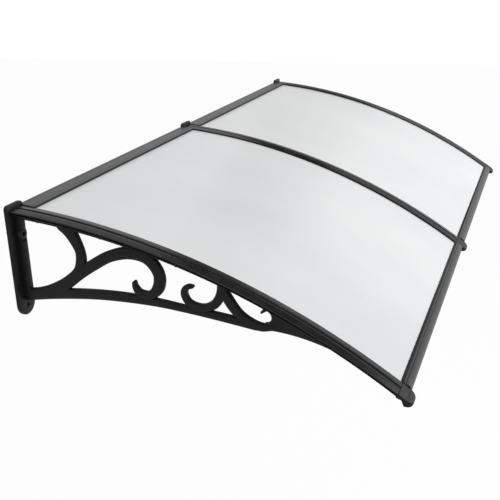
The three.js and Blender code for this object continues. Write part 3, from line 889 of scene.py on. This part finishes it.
# studio, in metres: pale floor well below, white surround, soft lamps,
# and two dark cards past the right end that show only in reflections
studio = {"floorUp": -2.3, "floorSize": 40, "floorColour": (0.80, 0.80, 0.80),
          "floorCloud": (0.74, 0.74, 0.735), "floorWhite": 0.97, "surround": 0.42,
          "flags": {
              "sideFlag": [(3.43, -0.4, 1.1), (3.43, 0.75, 1.1), (3.43, 0.5, 2.4), (3.43, -0.7, 2.4)],
              "highFlag": [(3.43, -5.6, 2.1), (3.43, 0.5, 2.4), (3.43, 0.0, 5.4), (3.43, -5.6, 5.4)]},
          "flagColour": (0.012, 0.012, 0.012), "flagWeave": 1.4,
          "lamps": [
              {"name": "overhead", "at": (-0.6, -1.4, 3.2), "to": (-0.2, -0.5, 0), "size": (3.2, 2.6),
               "watts": 48},
              {"name": "frontRight", "at": (1.2, -4.2, 1.5), "to": (-0.3, -0.4, 0), "size": (3.0, 2.0),
               "watts": 120}]}


# 1 where the eye looks straight at it, in a reflection or through glass
def seenDirectly(look):
    rays = ("Is Camera Ray", "Is Glossy Ray", "Is Transmission Ray")
    eye, mirror, glass = (look.node("ShaderNodeLightPath", out=ray) for ray in rays)
    through = look.node("ShaderNodeMath", {"operation": "MAXIMUM"}, {0: eye, 1: glass})
    return look.node("ShaderNodeMath", {"operation": "MAXIMUM"}, {0: through, 1: mirror})


def floorLook():
    look = Look("paleFloor")
    cloud = look.noise(1.5, 3)
    colour = look.mixColour(cloud * 0.15, studio["floorColour"], studio["floorCloud"])
    matt = look.node("ShaderNodeBsdfDiffuse", None, {"Color": colour})
    white = look.node("ShaderNodeEmission", None, {"Color": (1, 1, 1, 1), "Strength": 1.0})
    share = seenDirectly(look) * studio["floorWhite"]
    mixed = look.node("ShaderNodeMixShader", None, {0: share, 1: matt, 2: white})
    look.node("ShaderNodeOutputMaterial", None, {0: mixed})
    return look.material


def flagLook(name):
    look, shade = Look(name), studio["flagColour"]
    weave = look.noise(300, 2)
    colour = look.mixColour(weave * 0.3, shade, tuple(part * studio["flagWeave"] for part in shade))
    return look.finish({"Base Color": colour, "Roughness": 0.9, "Specular IOR Level": 0.05})


def makeSurround():
    world = bpy.data.worlds.new("surround")
    bpy.context.scene.world = world
    world.use_nodes = True
    look = Look("surround", world.node_tree)
    seen = seenDirectly(look)
    shade = seen + (1 - seen) * studio["surround"]
    white = look.node("ShaderNodeBackground", None, {"Color": (1, 1, 1, 1), "Strength": shade})
    look.node("ShaderNodeOutputWorld", None, {0: white})


# one flat face from corners in metres
def makeSheet(name, corners, look):
    points = [(x * perMetre, -y * perMetre, z * perMetre) for x, y, z in corners]
    return makePiece(name, points, [(0, 1, 2, 3)], look)


def makeStudio():
    makeSurround()
    half, up = studio["floorSize"] / 2, studio["floorUp"]
    corners = [(-half, half, up), (half, half, up), (half, -half, up), (-half, -half, up)]
    floor = makeSheet("floor", corners, floorLook())
    for name, corners in studio["flags"].items():
        flag = makeSheet(name, corners, flagLook(name))
        flag.visible_camera = flag.visible_diffuse = flag.visible_shadow = False
    for lamp in studio["lamps"]:
        light = bpy.data.lights.new(lamp["name"], "AREA")
        light.shape, light.energy = "RECTANGLE", lamp["watts"]
        light.size, light.size_y = lamp["size"]
        holder = bpy.data.objects.new(lamp["name"], light)
        holder.location = lamp["at"]
        ahead = Vector(lamp["to"]) - Vector(lamp["at"])
        holder.rotation_euler = ahead.to_track_quat("-Z", "Y").to_euler()
        bpy.context.scene.collection.objects.link(holder)


makeStudio()
print("studio made")

# camera at the photograph's place, angles in radians, focal length in pixels of the frame
view = {"at": (-2.4867, -1.1723, 0.6694), "turn": 0.3648, "tilt": 0.3498, "roll": 0.0342, "focal": 815.49,
        "frame": 500, "sensor": 36, "clip": (0.05, 100)}


def makeCamera():
    turn, tilt, roll = view["turn"], view["tilt"], view["roll"]
    ahead = Vector((math.cos(turn) * math.cos(tilt), math.sin(turn) * math.cos(tilt), -math.sin(tilt)))
    right = ahead.cross(Vector((0, 0, 1))).normalized()
    down = ahead.cross(right)
    across = math.cos(roll) * right + math.sin(roll) * down
    below = -math.sin(roll) * right + math.cos(roll) * down
    camera = bpy.data.cameras.new("camera")
    camera.sensor_width, camera.lens = view["sensor"], view["sensor"] * view["focal"] / view["frame"]
    camera.clip_start, camera.clip_end = view["clip"]
    holder = bpy.data.objects.new("camera", camera)
    axes = Matrix((across, -below, -ahead)).transposed().to_4x4()
    holder.matrix_world = Matrix.Translation(view["at"]) @ axes
    bpy.context.scene.collection.objects.link(holder)
    bpy.context.scene.camera = holder


makeCamera()
print("camera set")
bpy.context.scene.view_settings.view_transform = "Standard"
